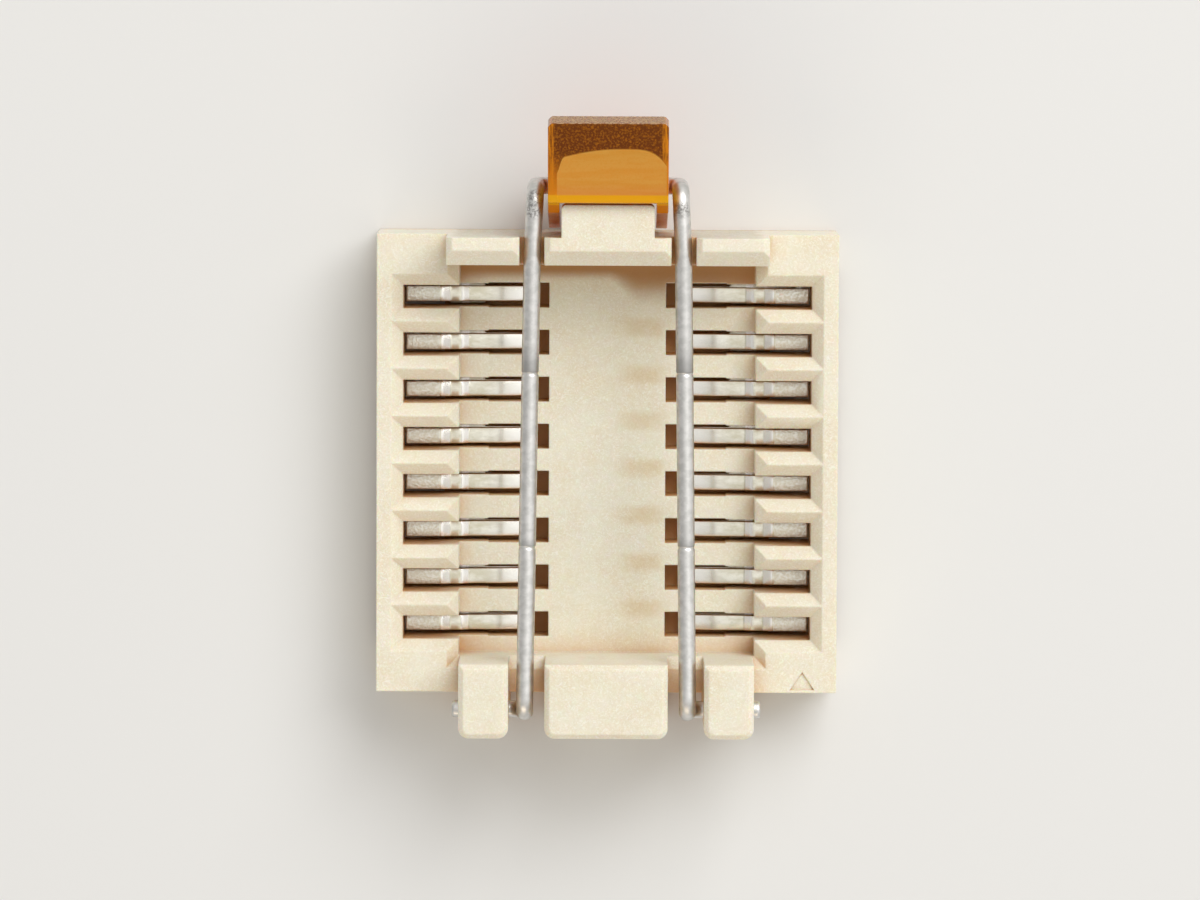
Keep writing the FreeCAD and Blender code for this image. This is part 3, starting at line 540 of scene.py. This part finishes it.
def amber_plastic():
    """Clear amber, with painted shade towards the plate's end, the thumb patch and the frosted face.

    Painted highlights lie on the thumb patch and the front lip, and painted light on the lower parts. The
    places are read in the plate's own directions: along it from its front lip, and above it.
    """
    material, tree, surface, place = new_material("amber_plastic")
    plate = {"Location": plate_front, "Rotation": (plate_slope, 0, 0), "Scale": (MM, MM, MM)}
    plate = add(tree, "Mapping", plate, {"Vector": place}, vector_type="TEXTURE").outputs[0]
    across, along, above = add(tree, "SeparateXYZ", links={"Vector": plate}).outputs

    offset = math_node(tree, "SUBTRACT", across, patch_peak[0])
    leftwards = math_node(tree, "ABSOLUTE", math_node(tree, "MINIMUM", offset, 0.0))
    left = math_node(tree, "MULTIPLY", math_node(tree, "POWER", leftwards, 2.0), patch_left_fall)
    rightwards = math_node(tree, "MAXIMUM", offset, 0.0)
    right = math_node(tree, "MULTIPLY", math_node(tree, "POWER", rightwards, 4.0), patch_right_fall)
    corner = math_node(tree, "POWER", ramp(tree, across, *patch_corner, patch_corner_drop, 0.0), 2.0)
    edge = math_node(tree, "SUBTRACT", patch_peak[1],
                     math_node(tree, "ADD", corner, math_node(tree, "ADD", left, right)))
    patch = ramp(tree, math_node(tree, "SUBTRACT", edge, along), -0.02, 0.03)
    patch = math_node(tree, "MULTIPLY", patch, ramp(tree, across, *patch_left))
    patch = math_node(tree, "MULTIPLY", patch, ramp(tree, across, *patch_right, 1.0, 0.0))
    patch = math_node(tree, "MULTIPLY", patch, ramp(tree, above, -0.08, -0.05))

    speckle = ramp(tree, grain(tree, place, 0.055, detail=3.0), 0.45, 0.68)
    # Painted shade: the plate darkens towards its end, streaked back to amber along the side rims.
    plate_shade = blend_colour(tree, ramp(tree, along, 0.2, 1.5), amber, amber_shade)
    plate_shade = blend_colour(tree, math_node(tree, "MULTIPLY", speckle, 0.38), plate_shade, amber)
    rim = ramp(tree, math_node(tree, "ABSOLUTE", across), rim_start, rim_start + rim_fade)
    streaks = grain(tree, place, 0.04, (1, 12, 12), detail=2.0)
    plate_shade = blend_colour(tree, math_node(tree, "MULTIPLY", rim, ramp(tree, streaks, 0.3, 0.6)), plate_shade, amber)
    # Painted highlight: the thumb patch coloured rose to bright amber in soft bands, over its real satin
    # roughness.
    gold = blend_colour(tree, ramp(tree, along, 0.2, 0.6), amber_patch_highlight_rose, amber_patch_highlight)
    bands = ramp(tree, grain(tree, place, 0.16, (9, 1, 1), detail=2.0), 0.35, 0.65)
    gold = blend_colour(tree, math_node(tree, "MULTIPLY", bands, 0.30), gold, amber)
    gold = blend_colour(tree, math_node(tree, "MULTIPLY", speckle, 0.22), gold, amber)
    base = blend_colour(tree, patch, plate_shade, gold)
    # Painted highlight: a bright line along the plate's front lip.
    lip = math_node(tree, "MULTIPLY", ramp(tree, along, 0.18, 0.24, 1.0, 0.0),
                    ramp(tree, along, -0.14, -0.08))
    base = blend_colour(tree, lip, base, amber_lip_highlight)
    # Painted light: the latch's lower parts a brighter, redder amber.
    foot = ramp(tree, above, -2.6, -0.6, 1.0, 0.0)
    base = blend_colour(tree, foot, base, amber_foot_light)
    end = math_node(tree, "GREATER_THAN", along, plate_length - 0.01)
    base = blend_colour(tree, end, base, amber_cut)
    pits = ramp(tree, grain(tree, place, 0.05, (1.6, 1, 1), detail=4.0), 0.38, 0.66)
    end = math_node(tree, "MULTIPLY", end, pits)
    base = blend_colour(tree, end, base, amber_frost)
    tree.links.new(base, surface.inputs["Base Color"])
    rough = math_node(tree, "MULTIPLY_ADD", patch, 0.22, 0.07)
    tree.links.new(math_node(tree, "MAXIMUM", rough, math_node(tree, "MULTIPLY", end, 0.7)),
                   surface.inputs["Roughness"])
    skin = relief(tree, grain(tree, place, 0.5), 0.01, 0.25)
    skin = relief(tree, end, 0.012, 0.6, skin)
    tree.links.new(skin, surface.inputs["Normal"])
    surface.inputs["Transmission Weight"].default_value = 0.35
    surface.inputs["Specular IOR Level"].default_value = 0.30
    surface.inputs["Specular Tint"].default_value = amber_sheen
    surface.inputs["IOR"].default_value = 1.6
    return material


latch = new_piece("amber_latch", merged_skin("latch_lever", "amber_latch"), amber_plastic(),
                  "latch", "latch_amber", "latch_lever")
ease_edges(latch, latch_easing, 2, 25)


# The stage is a plain pale floor, a wide soft lamp above the back right corner, a warm low lamp at
# the front and an even sky. The camera looks down from nearly overhead, a little from the latch's side.

floor_half = 0.6
floor_colour = (0.78, 0.78, 0.77, 1)
sky_colour = (1.0, 0.99, 0.975, 1)
sky_strength = 0.52
mirrored_dark = 0.60
mirrored_bright = 1.0
mirrored_heading = (0.55, 0.40, 0.73)
back_lamp_place = (0.16, 0.22, 0.29)
back_lamp_size = (0.30, 0.26)
back_lamp_power = 1.12
back_lamp_colour = (1.0, 0.995, 0.98)
front_lamp_place = (-0.05, -0.32, 0.17)
front_lamp_size = (0.30, 0.16)
front_lamp_power = 0.26
front_lamp_colour = (1.0, 0.82, 0.60)
camera_distance = 180 * MM
camera_tilt = math.radians(4.7)
camera_turn = math.radians(0.25)
picture_width = 1200
picture_height = 900
sensor_width = 36
focal_pixels = 37.1 * 180
aim = Vector((0, 0, 1.35 * MM))
aim_pixel = (607.05, 460.0)

floor_mesh = bpy.data.meshes.new("floor")
floor_corners = [(-floor_half, -floor_half, 0), (floor_half, -floor_half, 0),
                 (floor_half, floor_half, 0), (-floor_half, floor_half, 0)]
floor_mesh.from_pydata(floor_corners, [], [(0, 1, 2, 3)])
floor_material = bpy.data.materials.new("pale_floor")
floor_material.use_nodes = True
floor_surface = floor_material.node_tree.nodes["Principled BSDF"]
floor_surface.inputs["Base Color"].default_value = floor_colour
floor_surface.inputs["Roughness"].default_value = 0.8
floor_mesh.materials.append(floor_material)
floor = bpy.data.objects.new("floor", floor_mesh)
bpy.context.scene.collection.objects.link(floor)

world = bpy.data.worlds.new("even_sky")
world.use_nodes = True
sky = world.node_tree
sky.nodes["Background"].inputs["Color"].default_value = sky_colour
ray = sky.nodes.new("ShaderNodeLightPath").outputs
seen = math_node(sky, "MAXIMUM", ray["Is Camera Ray"],
                 math_node(sky, "MAXIMUM", ray["Is Glossy Ray"], ray["Is Transmission Ray"]))
heading = add(sky, "VectorMath", {1: mirrored_heading},
              {0: sky.nodes.new("ShaderNodeTexCoord").outputs["Generated"]}, operation="DOT_PRODUCT")
mirrored = ramp(sky, heading.outputs["Value"], 0.1, 0.85, mirrored_dark, mirrored_bright)
strength = add(sky, "Mix", {2: sky_strength}, {0: seen, 3: mirrored}, data_type="FLOAT").outputs[0]
sky.links.new(strength, sky.nodes["Background"].inputs["Strength"])
bpy.context.scene.world = world


def soft_lamp(name, place, size, power, colour):
    """A rectangular lamp at a place, turned to the socket."""
    data = bpy.data.lights.new(name, "AREA")
    data.shape = "RECTANGLE"
    data.size, data.size_y = size
    data.energy = power
    data.color = colour
    lamp = bpy.data.objects.new(name, data)
    bpy.context.scene.collection.objects.link(lamp)
    lamp.location = place
    lamp.rotation_euler = (-Vector(place)).to_track_quat("-Z", "Y").to_euler()


soft_lamp("back_lamp", back_lamp_place, back_lamp_size, back_lamp_power, back_lamp_colour)
soft_lamp("front_lamp", front_lamp_place, front_lamp_size, front_lamp_power, front_lamp_colour)

camera_data = bpy.data.cameras.new("camera")
camera_data.sensor_width = sensor_width
camera_data.lens = focal_pixels * sensor_width / picture_width
camera_data.clip_start = 0.01
camera_data.shift_x = (picture_width / 2 - aim_pixel[0]) / picture_width
camera_data.shift_y = (aim_pixel[1] - picture_height / 2) / picture_width
camera = bpy.data.objects.new("camera", camera_data)
bpy.context.scene.collection.objects.link(camera)
backwards = Vector((0, math.sin(camera_tilt), math.cos(camera_tilt)))
rolled = Matrix.Rotation(camera_turn, 3, backwards)
rightwards = rolled @ Vector((1, 0, 0))
upwards = backwards.cross(rightwards)
stand = Matrix((rightwards, upwards, backwards)).transposed().to_4x4()
stand.translation = aim + backwards * camera_distance
camera.matrix_world = stand
bpy.context.scene.camera = camera

bpy.context.scene.view_settings.view_transform = "Standard"
